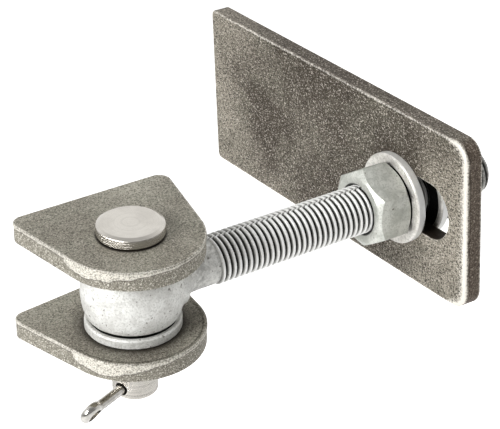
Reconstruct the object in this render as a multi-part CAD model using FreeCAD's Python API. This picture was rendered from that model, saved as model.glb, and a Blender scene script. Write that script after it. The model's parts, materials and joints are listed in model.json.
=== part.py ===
import FreeCAD, Part
import math
import os

from FreeCAD import Vector, Placement, Rotation

# Driving dimensions, in millimetres and degrees

# Slotted plate, welded on by its plain end
plate_length = 182.0
plate_height = 73.0
plate_thickness = 8.0
plate_slot_end_radius = 8.0
plate_plain_end_radius = 2.5
slot_width = 24.0
slot_length = 54.0
slot_end_margin = 11.0

# Eye bolt, measured from the hinge axis along the shank
thread_diameter = 20.0
bolt_length = 166.5
thread_start = 34.0
thread_pitch = 2.5
thread_depth = 1.3
thread_angle = 60.0
thread_end_chamfer = 2.0
neck_diameter = 18.6
neck_blend_radius = 7.0
eye_diameter = 40.0
eye_end_diameter = 36.6
eye_height = 23.0
eye_edge_round = 1.5

# Where the bolt is set in the plate
pivot_to_plate = 125.5
bolt_to_slot_end = 33.0
bolt_rest_gap = 0.3
eye_turn = 4.0

# Hexagon nuts
nut_sides = 6
nut_corner_angle = 90.0
nut_across_flats = 30.0
nut_height = 16.0
nut_face_diameter = 28.2
nut_chamfer_angle = 38.0
nut_countersink = 0.8

# Washers of the bolt and thrust washers of the eye
washer_diameter = 38.6
washer_thickness = 4.0
washer_bore = 21.0
washer_bevel = 0.8
thrust_washer_diameter = 38.0
thrust_washer_thickness = 4.1
thrust_washer_bore = 19.0
eye_play = 0.8

# Weld-on lugs, measured from the hinge axis
lug_thickness = 8.0
lug_nose_radius = 28.3
lug_weld_distance = 33.6
lug_weld_width = 68.0
lug_corner_radius = 5.0
upper_lug_turn = -0.7
lower_lug_turn = 6.0

# Hinge pin
pin_diameter = 18.0
pin_head_diameter = 26.4
pin_head_height = 4.3
pin_head_bevel = 0.9
pin_length = 71.0
pin_end_chamfer = 1.0
pin_lift = 0.8
split_hole_diameter = 5.5
split_hole_from_end = 4.5

# Split pin, two half-round legs and a ring
split_wire_radius = 2.0
split_leg_gap = 0.1
split_ring_inner_radius = 3.0
split_ring_neck_radius = 3.2
split_ring_reach = 24.0
split_tail_length = 9.0
split_tail_bend_radius = 6.0
split_tail_angle = 18.0
split_pin_turn = -68.5
split_pin_roll = -42.0

# Shared finishing and fit values
cut_edge_bevel = 0.5
running_clearance = 0.05
match_tolerance = 1e-4

# Places that follow from the sizes above
axis_y = Vector(0, 1, 0)
axis_z = Vector(0, 0, 1)
weld_zone_length = plate_length - slot_end_margin - slot_length
plain_end_x = -weld_zone_length / 2
slot_edge_x = plain_end_x + plate_length
slot_outer_end_x = slot_edge_x - slot_end_margin
plate_front_y = -plate_thickness
bolt_x = slot_outer_end_x - bolt_to_slot_end
bolt_z = -(slot_width / 2 - thread_diameter / 2 - bolt_rest_gap)
pivot_y = plate_front_y - pivot_to_plate
eye_top = eye_height / 2
upper_lug_bottom = eye_top + thrust_washer_thickness
head_seat = upper_lug_bottom + lug_thickness + pin_lift
lower_washer_top = -eye_top - eye_play
lower_lug_top = lower_washer_top - thrust_washer_thickness
pin_bottom = head_seat - pin_length
split_hole_z = pin_bottom + split_hole_from_end
split_leg_radius = split_wire_radius + split_leg_gap / 2
split_pin_z = split_hole_z - split_hole_diameter / 2 + split_leg_radius + running_clearance

# Frames of the clamped bolt and of the eye, which stands turned about the shank
bolt_frame = Placement(Vector(bolt_x, pivot_y, bolt_z), Rotation())
eye_frame = Placement(Vector(bolt_x, pivot_y, bolt_z), Rotation(axis_y, eye_turn))


def revolved(points, axis):
    """Solid of revolution from a closed half profile in the plane of the axis."""
    face = Part.Face(Part.makePolygon(points + [points[0]]))
    return face.revolve(Vector(0, 0, 0), axis, 360)


def bored(solid, diameter, axis, start, end):
    """Cuts a round hole along an axis through the origin, between two distances."""
    hole = Part.makeCylinder(diameter / 2, end - start, axis * start, axis)
    return solid.cut(hole)


def rim_edges(solid, axis, distance):
    """Edges that lie in the plane at a distance along the axis."""
    found = []
    for edge in solid.Edges:
        heights = [vertex.Point.dot(axis) for vertex in edge.Vertexes]
        heights.append(edge.CenterOfMass.dot(axis))
        if all(abs(height - distance) < match_tolerance for height in heights):
            found.append(edge)
    return found


def bevelled_rims(solid, axis, distances, size):
    """Bevels the edges of the flat faces at the given distances along the axis."""
    edges = []
    for distance in distances:
        edges += rim_edges(solid, axis, distance)
    return solid.makeChamfer(size, edges)


def washer(outer, bore, thickness, bevel, axis, start):
    """Flat washer with a bevel on both outer rims, from start along the axis."""
    disc = Part.makeCylinder(outer / 2, thickness, axis * start, axis)
    disc = bevelled_rims(disc, axis, (start, start + thickness), bevel)
    return bored(disc, bore, axis, start, start + thickness)


def mounting_plate():
    """Flat bar with a closed slot near one end and rounder corners at that end."""
    low = -plate_height / 2
    blank = Part.makeBox(plate_length, plate_thickness, plate_height,
                         Vector(plain_end_x, plate_front_y, low))
    for corner_x, radius in ((plain_end_x, plate_plain_end_radius), (slot_edge_x, plate_slot_end_radius)):
        uprights = [edge for edge in blank.Edges
                    if abs(edge.CenterOfMass.x - corner_x) < match_tolerance
                    and abs(edge.CenterOfMass.y - plate_front_y / 2) < match_tolerance]
        blank = blank.makeFillet(radius, uprights)
    blank = bevelled_rims(blank, axis_y, (plate_front_y, 0.0), cut_edge_bevel)
    end_radius = slot_width / 2
    end_x = slot_outer_end_x - end_radius
    start_x = slot_outer_end_x - slot_length + end_radius
    slot = Part.makeBox(end_x - start_x, plate_thickness, slot_width,
                        Vector(start_x, plate_front_y, -end_radius))
    for x in (start_x, end_x):
        slot = slot.fuse(Part.makeCylinder(end_radius, plate_thickness, Vector(x, plate_front_y, 0), axis_y))
    return blank.cut(slot.removeSplitter())


def crosses_neck(edge):
    """True for a curved edge on the neck's surface, short of the neck's far end."""
    if isinstance(edge.Curve, Part.Line):
        return False
    for vertex in edge.Vertexes:
        off_axis = math.hypot(vertex.X, vertex.Z)
        if abs(off_axis - neck_diameter / 2) > match_tolerance or vertex.Y > thread_start - match_tolerance:
            return False
    return True


def threaded_shank():
    """Shank with its thread turned as plain ring grooves, one to a pitch, and a chamfered end."""
    crest = thread_diameter / 2
    root = crest - thread_depth
    half_width = thread_depth * math.tan(math.radians(thread_angle / 2))
    lead_in = crest - neck_diameter / 2
    full_end = bolt_length - thread_end_chamfer
    outline = [
        Vector(0, thread_start, 0),
        Vector(neck_diameter / 2, thread_start, 0),
        Vector(crest, thread_start + lead_in, 0),
    ]
    groove = thread_start + thread_pitch
    while groove + half_width < full_end:
        outline.append(Vector(crest, groove - half_width, 0))
        outline.append(Vector(root, groove, 0))
        outline.append(Vector(crest, groove + half_width, 0))
        groove += thread_pitch
    outline.append(Vector(crest, full_end, 0))
    outline.append(Vector(crest - thread_end_chamfer, bolt_length, 0))
    outline.append(Vector(0, bolt_length, 0))
    return revolved(outline, axis_y)


def eye_bolt():
    """Forged eye with a barrel outline, blended through a neck into the shank."""
    top = eye_top
    end_radius = eye_end_diameter / 2
    girth = Part.Arc(Vector(end_radius, 0, -top), Vector(eye_diameter / 2, 0, 0), Vector(end_radius, 0, top))
    outline = Part.Wire([
        Part.makeLine(Vector(0, 0, -top), Vector(end_radius, 0, -top)),
        girth.toShape(),
        Part.makeLine(Vector(end_radius, 0, top), Vector(0, 0, top)),
        Part.makeLine(Vector(0, 0, top), Vector(0, 0, -top)),
    ])
    eye = Part.Face(outline).revolve(Vector(0, 0, 0), axis_z, 360)
    eye = eye.makeFillet(eye_edge_round, rim_edges(eye, axis_z, -top) + rim_edges(eye, axis_z, top))
    neck = Part.makeCylinder(neck_diameter / 2, thread_start, Vector(0, 0, 0), axis_y)
    forging = eye.fuse(neck).removeSplitter()
    joint = [edge for edge in forging.Edges if crosses_neck(edge)]
    forging = forging.makeFillet(neck_blend_radius, joint)
    bolt = forging.fuse(threaded_shank()).removeSplitter()
    return bored(bolt, pin_diameter + 2 * running_clearance, axis_z, -top, top)


def hex_nut(start):
    """Hexagon nut along the shank, with turned chamfers on both faces and a countersunk bore."""
    corner_radius = nut_across_flats / 2 / math.cos(math.pi / nut_sides)
    corners = []
    for step in range(nut_sides + 1):
        angle = math.radians(nut_corner_angle + 360 / nut_sides * step)
        corners.append(Vector(corner_radius * math.cos(angle), start, corner_radius * math.sin(angle)))
    prism = Part.Face(Part.makePolygon(corners)).extrude(axis_y * nut_height)
    face_radius = nut_face_diameter / 2
    drop = (corner_radius - face_radius) * math.tan(math.radians(nut_chamfer_angle))
    end = start + nut_height
    turned = revolved([
        Vector(0, start, 0),
        Vector(face_radius, start, 0),
        Vector(corner_radius, start + drop, 0),
        Vector(corner_radius, end - drop, 0),
        Vector(face_radius, end, 0),
        Vector(0, end, 0),
    ], axis_y)
    nut = prism.common(turned)
    bore = thread_diameter / 2 + running_clearance
    nut = bored(nut, 2 * bore, axis_y, start, end)
    for rim, inward in ((start, 1), (end, -1)):
        mouth = Part.makeCone(bore + nut_countersink, bore, nut_countersink,
                              axis_y * rim, axis_y * inward)
        nut = nut.cut(mouth)
    return nut


def lug(bottom, turn):
    """Plate lug with a round nose about the hinge axis and sides that spread to the weld edge."""
    corner = Vector(lug_corner_radius - lug_weld_distance, lug_weld_width / 2 - lug_corner_radius, 0)
    reach = math.hypot(corner.x, corner.y)
    side = math.atan2(corner.y, corner.x) - math.acos((lug_nose_radius - lug_corner_radius) / reach)
    normal = Vector(math.cos(side), math.sin(side), 0)
    turned_corner = (side + math.pi) / 2
    crown = Vector(math.cos(turned_corner), math.sin(turned_corner), 0)

    def mirrored(point):
        return Vector(point.x, -point.y, point.z)

    nose_end = normal * lug_nose_radius
    side_end = corner + normal * lug_corner_radius
    corner_mid = corner + crown * lug_corner_radius
    weld_end = Vector(-lug_weld_distance, corner.y, 0)
    outline = Part.Wire([
        Part.Arc(mirrored(nose_end), Vector(lug_nose_radius, 0, 0), nose_end).toShape(),
        Part.makeLine(nose_end, side_end),
        Part.Arc(side_end, corner_mid, weld_end).toShape(),
        Part.makeLine(weld_end, mirrored(weld_end)),
        Part.Arc(mirrored(weld_end), mirrored(corner_mid), mirrored(side_end)).toShape(),
        Part.makeLine(mirrored(side_end), mirrored(nose_end)),
    ])
    blank = Part.Face(outline).extrude(axis_z * lug_thickness)
    blank = bevelled_rims(blank, axis_z, (0.0, lug_thickness), cut_edge_bevel)
    blank = bored(blank, pin_diameter + 2 * running_clearance, axis_z, 0.0, lug_thickness)
    blank.rotate(Vector(0, 0, 0), axis_z, turn)
    blank.translate(axis_z * bottom)
    return blank


def split_pin_direction():
    """Direction in which the split pin's ring points away from the hinge axis."""
    angle = math.radians(split_pin_turn)
    return Vector(math.cos(angle), math.sin(angle), 0)


def hinge_pin():
    """Turned pin with a bevelled flat head, a chamfered end and a cross hole for the split pin."""
    radius = pin_diameter / 2
    head_radius = pin_head_diameter / 2
    head_top = head_seat + pin_head_height
    pin = revolved([
        Vector(0, 0, pin_bottom),
        Vector(radius - pin_end_chamfer, 0, pin_bottom),
        Vector(radius, 0, pin_bottom + pin_end_chamfer),
        Vector(radius, 0, head_seat),
        Vector(head_radius, 0, head_seat),
        Vector(head_radius, 0, head_top - pin_head_bevel),
        Vector(head_radius - pin_head_bevel, 0, head_top),
        Vector(0, 0, head_top),
    ], axis_z)
    direction = split_pin_direction()
    start = direction * -pin_diameter + axis_z * split_hole_z
    return pin.cut(Part.makeCylinder(split_hole_diameter / 2, 2 * pin_diameter, start, direction))


def split_pin():
    """Half-round wire bent into a ring, its two legs flat against each other and spread at the tail.

    It lies on the floor of the pin's cross hole, rolled about its legs.
    """
    half_gap = split_leg_gap / 2
    ring_radius = split_ring_inner_radius
    neck = split_ring_neck_radius
    ring_x = pin_diameter / 2 + split_ring_reach - ring_radius - split_wire_radius
    neck_run = math.sqrt((ring_radius + neck) ** 2 - (half_gap + neck) ** 2)
    neck_x = ring_x - neck_run
    neck_centre = Vector(neck_x, 0, half_gap + neck)
    to_neck = (neck_centre - Vector(ring_x, 0, 0)).normalize()
    ring_start = Vector(ring_x, 0, 0) + to_neck * ring_radius
    neck_mid_direction = (to_neck * -1 + Vector(0, 0, -1)).normalize()
    neck_mid = neck_centre + neck_mid_direction * neck
    leg_start = Vector(neck_x, 0, half_gap)
    leg_end = Vector(-pin_diameter / 2, 0, half_gap)
    spread = math.radians(split_tail_angle)
    bend = split_tail_bend_radius
    bend_centre = leg_end + axis_z * bend
    bend_mid = bend_centre + Vector(-math.sin(spread / 2), 0, -math.cos(spread / 2)) * bend
    bend_end = bend_centre + Vector(-math.sin(spread), 0, -math.cos(spread)) * bend
    tail_end = bend_end + Vector(-math.cos(spread), 0, math.sin(spread)) * split_tail_length

    def lower(point):
        return Vector(point.x, 0, -point.z)

    path = Part.Wire([
        Part.makeLine(tail_end, bend_end),
        Part.Arc(bend_end, bend_mid, leg_end).toShape(),
        Part.makeLine(leg_end, leg_start),
        Part.Arc(leg_start, neck_mid, ring_start).toShape(),
        Part.Arc(ring_start, Vector(ring_x + ring_radius, 0, 0), lower(ring_start)).toShape(),
        Part.Arc(lower(ring_start), lower(neck_mid), lower(leg_start)).toShape(),
        Part.makeLine(lower(leg_start), lower(leg_end)),
        Part.Arc(lower(leg_end), lower(bend_mid), lower(bend_end)).toShape(),
        Part.makeLine(lower(bend_end), lower(tail_end)),
    ])
    outward = Vector(math.sin(spread), 0, math.cos(spread))
    across = axis_y * split_wire_radius
    section = Part.Wire([
        Part.makeLine(tail_end - across, tail_end + across),
        Part.Arc(tail_end + across, tail_end + outward * split_wire_radius, tail_end - across).toShape(),
    ])
    sweep = Part.BRepOffsetAPI.MakePipeShell(path)
    sweep.setBiNormalMode(axis_y)
    sweep.add(section, False, False)
    sweep.build()
    sweep.makeSolid()
    wire = Part.Solid(sweep.shape())
    wire.rotate(Vector(0, 0, 0), Vector(1, 0, 0), split_pin_roll)
    wire.rotate(Vector(0, 0, 0), axis_z, split_pin_turn)
    wire.translate(axis_z * split_pin_z)
    return wire


def placed(solid, frame):
    """Moves a solid from its own frame to its place on the hinge."""
    moved = solid.copy()
    moved.transformShape(frame.toMatrix(), True)
    return moved


front_washer_start = pivot_to_plate - washer_thickness
rear_washer_start = pivot_to_plate + plate_thickness
thrust_sizes = (thrust_washer_diameter, thrust_washer_bore, thrust_washer_thickness, washer_bevel)
washer_sizes = (washer_diameter, washer_bore, washer_thickness, washer_bevel)

nodes = {
    "mounting_plate": mounting_plate(),
    "front_washer": placed(washer(*washer_sizes, axis_y, front_washer_start), bolt_frame),
    "rear_washer": placed(washer(*washer_sizes, axis_y, rear_washer_start), bolt_frame),
    "front_nut": placed(hex_nut(front_washer_start - nut_height), bolt_frame),
    "rear_nut": placed(hex_nut(rear_washer_start + washer_thickness), bolt_frame),
    "eye_bolt": placed(eye_bolt(), eye_frame),
    "upper_thrust_washer": placed(washer(*thrust_sizes, axis_z, eye_top), eye_frame),
    "lower_thrust_washer": placed(washer(*thrust_sizes, axis_z, lower_lug_top), eye_frame),
    "upper_lug": placed(lug(upper_lug_bottom, upper_lug_turn), eye_frame),
    "lower_lug": placed(lug(lower_lug_top - lug_thickness, lower_lug_turn), eye_frame),
    "hinge_pin": placed(hinge_pin(), eye_frame),
    "split_pin": placed(split_pin(), eye_frame),
}

os.makedirs("parts", exist_ok=True)
for name, solid in nodes.items():
    solid.exportStep("parts/" + name + ".step")
    print(name, "valid" if solid.isValid() else "broken", len(solid.Solids), round(solid.Volume, 1))
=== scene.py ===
import json
import math
import bmesh
import bpy
from mathutils import Matrix, Vector, noise
from mathutils.geometry import tessellate_polygon


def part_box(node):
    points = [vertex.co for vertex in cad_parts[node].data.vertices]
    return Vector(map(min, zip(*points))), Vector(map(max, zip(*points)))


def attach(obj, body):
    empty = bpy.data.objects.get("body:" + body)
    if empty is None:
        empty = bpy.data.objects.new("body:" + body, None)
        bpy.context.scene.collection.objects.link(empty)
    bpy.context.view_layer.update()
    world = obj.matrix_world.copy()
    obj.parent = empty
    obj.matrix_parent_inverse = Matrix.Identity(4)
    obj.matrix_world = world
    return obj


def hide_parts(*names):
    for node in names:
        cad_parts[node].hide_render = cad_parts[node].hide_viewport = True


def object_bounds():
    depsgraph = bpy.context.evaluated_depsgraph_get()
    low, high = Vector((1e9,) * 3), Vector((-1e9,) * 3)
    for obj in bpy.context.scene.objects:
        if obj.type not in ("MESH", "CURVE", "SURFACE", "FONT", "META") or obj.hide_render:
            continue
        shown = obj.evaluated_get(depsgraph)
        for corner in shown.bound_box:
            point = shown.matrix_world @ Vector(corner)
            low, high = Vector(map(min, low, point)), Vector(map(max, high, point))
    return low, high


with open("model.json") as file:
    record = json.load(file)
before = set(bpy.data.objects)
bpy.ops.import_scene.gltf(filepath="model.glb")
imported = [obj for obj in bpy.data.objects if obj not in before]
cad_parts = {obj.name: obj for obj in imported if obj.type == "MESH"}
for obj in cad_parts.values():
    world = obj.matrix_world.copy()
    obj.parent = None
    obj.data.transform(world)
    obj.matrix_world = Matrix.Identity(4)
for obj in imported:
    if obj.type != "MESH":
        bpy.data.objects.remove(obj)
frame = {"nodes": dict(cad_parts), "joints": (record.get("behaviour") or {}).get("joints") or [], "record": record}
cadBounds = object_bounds()
scene = bpy.context.scene
mm = 0.001
weldGap = 0.002 * mm  # points nearer than this become one
print("frame loaded:", len(frame["nodes"]), "nodes")


# Places read from the frame

joints = {joint["name"]: joint for joint in frame["joints"]}
mounts = {mount["name"]: mount for mount in frame["record"]["mounts"]}
pivot = Vector(joints["upper_lug_swing"]["pos_m"])
pinAxis = Vector(joints["upper_lug_swing"]["axis"]).normalized()
boltAxis = Vector(joints["reach"]["axis"]).normalized()


def localFrame(origin, xAxis, zAxis):
    yAxis = zAxis.cross(xAxis).normalized()
    axes = Matrix((yAxis.cross(zAxis), yAxis, zAxis)).transposed().to_4x4()
    axes.translation = origin
    return axes


def spanAlong(node, axis):
    # Lowest and highest point of a node along an axis through the pivot
    steps = [(vertex.co - pivot).dot(axis) / mm for vertex in frame["nodes"][node].data.vertices]
    return min(steps), max(steps)


def radiusAbout(node, axis):
    # Largest distance of a node from an axis through the pivot
    return max((vertex.co - pivot).cross(axis).length / mm for vertex in frame["nodes"][node].data.vertices)


eyeFrame = localFrame(pivot, boltAxis.cross(pinAxis), pinAxis)
shankFrame = localFrame(pivot, Vector((1, 0, 0)), boltAxis)
plateFrame = localFrame(Vector(mounts["plate_back"]["pos_m"]), Vector((1, 0, 0)), -boltAxis)


# Shader building

class Wire:
    # One output socket; arithmetic on it adds Math nodes
    def __init__(self, finish, socket):
        self.finish = finish
        self.socket = socket

    def maths(self, operation, *values):
        return self.finish.node("ShaderNodeMath", {"operation": operation}, dict(enumerate(values)))

    def __add__(self, other):
        return self.maths("ADD", self, other)

    def __radd__(self, other):
        return self.maths("ADD", other, self)

    def __sub__(self, other):
        return self.maths("SUBTRACT", self, other)

    def __rsub__(self, other):
        return self.maths("SUBTRACT", other, self)

    def __mul__(self, other):
        return self.maths("MULTIPLY", self, other)

    def __rmul__(self, other):
        return self.maths("MULTIPLY", other, self)

    def __abs__(self):
        return self.maths("ABSOLUTE", self)


class Finish:
    # The node tree of a material or of the world
    def __init__(self, owner):
        owner.use_nodes = True
        self.owner = owner
        self.tree = owner.node_tree
        self.tree.nodes.clear()

    def node(self, kind, settings=None, sockets=None, output=0):
        made = self.tree.nodes.new(kind)
        for key, value in (settings or {}).items():
            setattr(made, key, value)
        for key, value in (sockets or {}).items():
            if isinstance(value, Wire):
                self.tree.links.new(value.socket, made.inputs[key])
            else:
                made.inputs[key].default_value = value
        return Wire(self, made.outputs[output]) if len(made.outputs) else made

    def place(self, axes=None):
        # Object coordinates in millimetres, or those of a local frame
        coords = self.node("ShaderNodeTexCoord", output="Object")
        if axes:
            coords = self.node("ShaderNodeMapping", {"vector_type": "TEXTURE"},
                               {"Vector": coords, "Location": axes.translation, "Rotation": axes.to_euler()})
        return self.node("ShaderNodeVectorMath", {"operation": "SCALE"}, {0: coords, "Scale": 1 / mm})

    def apart(self, vector):
        split = self.node("ShaderNodeSeparateXYZ", sockets={0: vector}).socket.node
        return [Wire(self, socket) for socket in split.outputs]

    def along(self, vector, way):
        return self.node("ShaderNodeVectorMath", {"operation": "DOT_PRODUCT"}, {0: vector, 1: way},
                         output="Value")

    def stretch(self, place, factors):
        return self.node("ShaderNodeVectorMath", {"operation": "MULTIPLY"}, {0: place, 1: factors})

    def noise(self, place, size, detail, rough, seed):
        # Size is that of the largest lumps, in the units of place
        sockets = {"Vector": place, "W": seed, "Scale": 1 / size, "Detail": detail, "Roughness": rough}
        return self.node("ShaderNodeTexNoise", {"noise_dimensions": "4D"}, sockets)

    def step(self, value, low, high):
        return self.node("ShaderNodeMapRange", {"interpolation_type": "SMOOTHSTEP"},
                         {"Value": value, "From Min": low, "From Max": high})

    def painted(self, name):
        return self.node("ShaderNodeAttribute", {"attribute_name": name}, output="Fac")

    def mix(self, first, second, share):
        # Sockets 6 and 7 and output 2 of a Mix node are its colours
        under, over = [value if isinstance(value, Wire) else (*value, 1) for value in (first, second)]
        return self.node("ShaderNodeMix", {"data_type": "RGBA"}, {0: share, 6: under, 7: over}, output=2)

    def surface(self, colour, roughness, relief, look):
        normal = self.node("ShaderNodeBump", sockets={
            "Height": relief, "Distance": look["bumpDepth"] * mm, "Strength": 1.0})
        shader = self.node("ShaderNodeBsdfPrincipled", sockets={
            "Base Color": colour, "Roughness": roughness, "Metallic": look["metallic"],
            "Specular IOR Level": look["shine"], "Normal": normal})
        self.node("ShaderNodeOutputMaterial", sockets={"Surface": shader})
        return self.owner


# Blank steel of plate and lugs: blasted faces, worn rims with a painted sheen, sheared sides, painted shade in
# holes

plateLook = {
    "grainSize": 0.62, "gritSize": 0.40, "gritShare": 0.25, "grainStretch": (0.7, 1.0, 1.0),
    "cloudSize": 46.0, "cloudSeed": 2.6, "cloudWeight": 0.8, "paleSpan": (0.40, 0.72),
    "darkMiddle": 30.0, "darkSpan": (28.5, 95.0), "endWeight": 0.35, "lean": 0.0022,
    "brown": (0.080, 0.067, 0.051), "grey": (0.325, 0.297, 0.243),
    "green": (0.165, 0.153, 0.119), "tintSize": 18.4, "greenSpan": (0.42, 0.66), "greenShare": 0.6,
    "pitAndShade": (0.020, 0.015, 0.011), "pitSpan": (0.49, 0.60), "pitShare": 0.95,
    "glint": (0.66, 0.605, 0.535), "glintSpan": (0.54, 0.64), "glintShare": 0.85,
    "torn": (0.118, 0.094, 0.074), "tornGlint": (0.34, 0.285, 0.23), "tornGlintSpan": (0.52, 0.64),
    "tornPitAndShade": (0.03, 0.021, 0.016), "tornPitSpan": (0.50, 0.66), "tornPitShare": 0.8,
    "burnished": (0.26, 0.23, 0.19), "burnishSpan": (0.50, 0.62),
    "burnishPitSpan": (0.47, 0.60), "burnishPitShare": 0.9, "breakShadowShare": 3.0,
    "wornSheen": (0.88, 0.84, 0.76), "wornSheenShare": 0.92, "rubSheenSpan": (0.22, 0.72), "rimFade": 0.3,
    "rimWeight": 0.85, "speckWeight": 1.2, "tintWeight": 0.3,
    "roughness": 0.50, "grainRough": 0.35, "shearRough": 0.12, "metallic": 0.3, "shine": 0.12,
    "bumpDepth": 0.06, "tornRelief": 1.4, "gritRelief": 0.4,
}
lugLook = {
    **plateLook, "grainSize": 0.6, "gritSize": 0.4, "grainStretch": (1.0, 1.0, 1.0),
    "cloudSize": 26.0, "cloudSeed": 5.2, "tintSize": 10.4,
    "darkMiddle": 12.0, "darkSpan": (18.6, 62.0), "lean": -0.0018,
    "brown": (0.265, 0.248, 0.203), "grey": (0.450, 0.430, 0.360), "green": (0.330, 0.321, 0.262),
    "pitShare": 0.7, "glintShare": 0.6,
    "torn": (0.252, 0.236, 0.194), "tornGlint": (0.75, 0.72, 0.64), "tornPitAndShade": (0.07, 0.058, 0.046),
    "burnished": (0.68, 0.65, 0.58), "wornSheen": (0.88, 0.85, 0.78), "wornSheenShare": 0.85,
}


def blankSteel(name, look):
    finish = Finish(bpy.data.materials.new(name))
    place = finish.place()
    x, y = finish.apart(place)[:2]
    cut, rim, shear, paintedShade = [finish.painted(word) for word in ("cut", "rim", "shear", "paintedShade")]
    rolled = finish.stretch(place, look["grainStretch"])
    grain = finish.noise(rolled, look["grainSize"], detail=2, rough=0.7, seed=1.7)
    grit = finish.noise(rolled, look["gritSize"], detail=1, rough=0.6, seed=4.1)
    speck = (1 - look["gritShare"]) * grain + look["gritShare"] * grit
    cloud = finish.noise(place, look["cloudSize"], detail=3, rough=0.55, seed=look["cloudSeed"])
    tint = finish.noise(place, look["tintSize"], detail=2, rough=0.5, seed=8.3)
    ends = finish.step(abs(x - look["darkMiddle"]), *look["darkSpan"])
    pale = look["cloudWeight"] * cloud + look["endWeight"] * ends - look["lean"] * y
    # Blasted face
    face = finish.mix(look["brown"], look["grey"], finish.step(pale, *look["paleSpan"]))
    face = finish.mix(face, look["green"], look["greenShare"] * finish.step(tint, *look["greenSpan"]))
    face = finish.mix(face, look["pitAndShade"], look["pitShare"] * finish.step(1 - speck, *look["pitSpan"]))
    face = finish.mix(face, look["glint"], look["glintShare"] * finish.step(speck, *look["glintSpan"]))
    # Sheared side: torn below, burnished above, with a painted shadow line between
    torn = finish.mix(look["torn"], look["tornGlint"], finish.step(speck, *look["tornGlintSpan"]))
    pits = look["tornPitShare"] * finish.step(1 - speck, *look["tornPitSpan"])
    torn = finish.mix(torn, look["tornPitAndShade"], pits)
    smooth = finish.mix(look["burnished"], look["tornGlint"], finish.step(speck, *look["burnishSpan"]))
    pits = look["burnishPitShare"] * finish.step(1 - speck, *look["burnishPitSpan"])
    smooth = finish.mix(smooth, look["torn"], pits)
    side = finish.mix(torn, smooth, shear)
    side = finish.mix(side, look["tornPitAndShade"], look["breakShadowShare"] * shear * (1 - shear))
    colour = finish.mix(face, side, cut)
    # Worn bare metal with a painted sheen on the rims
    rubAndSheen = look["rimWeight"] * rim + look["speckWeight"] * (speck - 0.5) + look["tintWeight"] * (tint - 0.5)
    rubAndSheen = finish.step(rubAndSheen, *look["rubSheenSpan"]) * finish.step(rim, 0.0, look["rimFade"])
    colour = finish.mix(colour, look["wornSheen"], look["wornSheenShare"] * rubAndSheen)
    # Painted shade on hole and slot walls and where pieces meet, in the pit colour
    colour = finish.mix(colour, look["pitAndShade"], paintedShade)
    rough = look["roughness"] + look["grainRough"] * (grain - 0.5) - look["shearRough"] * shear * cut
    relief = grain * (1 + look["tornRelief"] * cut * (1 - shear)) + look["gritRelief"] * grit
    return finish.surface(colour, rough, relief, look)


plateSteel = blankSteel("plateSteel", plateLook)
lugSteel = blankSteel("lugSteel", lugLook)


# Hot-dip zinc of bolt, nuts and washers

boltZinc = {
    "mottleSize": 5.0, "lumpSize": 1.3, "grainSize": 0.7, "speckSize": 1.6, "seed": 1.1,
    "pale": (0.80, 0.80, 0.77), "dull": (0.66, 0.655, 0.625), "paleSpan": (0.36, 0.62),
    "grey": (0.45, 0.445, 0.415), "sandSpan": (0.46, 0.66), "sandShare": 0.6,
    "stain": (0.14, 0.12, 0.10), "stainSpan": (0.67, 0.72), "stainShare": 0.75,
    "sootAndShade": (0.17, 0.165, 0.15), "sootAndShadeSpan": (0.40, 0.60), "sootAndShadeShare": 0.6, "lumpShare": 0.4,
    "crest": (0.95, 0.95, 0.93), "groove": (0.008, 0.008, 0.007),
    "roughness": 0.46, "mottleRough": 0.3, "metallic": 0.3, "shine": 0.15,
    "bumpDepth": 0.32, "grainRelief": 0.25,
}
nutZinc = {
    **boltZinc, "mottleSize": 6.0, "lumpSize": 5.0, "seed": 5.7,
    "pale": (0.74, 0.75, 0.70), "dull": (0.55, 0.565, 0.515), "grey": (0.42, 0.43, 0.385),
    "stainSpan": (0.72, 0.77), "roughness": 0.38, "metallic": 0.45, "bumpDepth": 0.08,
}
washerZinc = {
    **boltZinc, "mottleSize": 3.2, "seed": 7.9,
    "pale": (0.82, 0.80, 0.75), "dull": (0.62, 0.60, 0.555), "grey": (0.42, 0.405, 0.37),
    "roughness": 0.40, "metallic": 0.4, "bumpDepth": 0.14,
}


def zincCoat(name, look):
    finish = Finish(bpy.data.materials.new(name))
    place = finish.place()
    sootAndShade, crest, groove = [finish.painted(word) for word in ("sootAndShade", "crest", "groove")]
    mottle = finish.noise(place, look["mottleSize"], detail=3, rough=0.6, seed=look["seed"])
    lump = finish.noise(place, look["lumpSize"], detail=2, rough=0.5, seed=3.3)
    grain = finish.noise(place, look["grainSize"], detail=2, rough=0.7, seed=6.1)
    speck = finish.noise(place, look["speckSize"], detail=1, rough=0.5, seed=9.4)
    colour = finish.mix(look["dull"], look["pale"], finish.step(mottle, *look["paleSpan"]))
    colour = finish.mix(colour, look["grey"], look["sandShare"] * finish.step(1 - grain, *look["sandSpan"]))
    colour = finish.mix(colour, look["stain"], look["stainShare"] * finish.step(speck, *look["stainSpan"]))
    # Patchy darkening: soot with painted shade on the neck, painted shade on the bolt's end behind the plate
    patches = (1 - look["lumpShare"]) * mottle + look["lumpShare"] * lump
    sootyAndShaded = sootAndShade * finish.step(patches, *look["sootAndShadeSpan"])
    colour = finish.mix(colour, look["sootAndShade"], look["sootAndShadeShare"] * sootyAndShaded)
    # Painted highlight on the thread's crests, over worn zinc, and on the clamp washers' rims
    colour = finish.mix(colour, look["crest"], crest)
    # Painted shade in the thread roots, with some dirt there, on nut seats and mouths and on washer faces under
    # their neighbours
    colour = finish.mix(colour, look["groove"], groove)
    rough = look["roughness"] + look["mottleRough"] * (mottle - 0.5)
    relief = lump + look["grainRelief"] * grain
    return finish.surface(colour, rough, relief, look)


boltCoat = zincCoat("boltCoat", boltZinc)
nutCoat = zincCoat("nutCoat", nutZinc)
washerCoat = zincCoat("washerCoat", washerZinc)


# Bright turned steel of hinge pin and split pin

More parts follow.
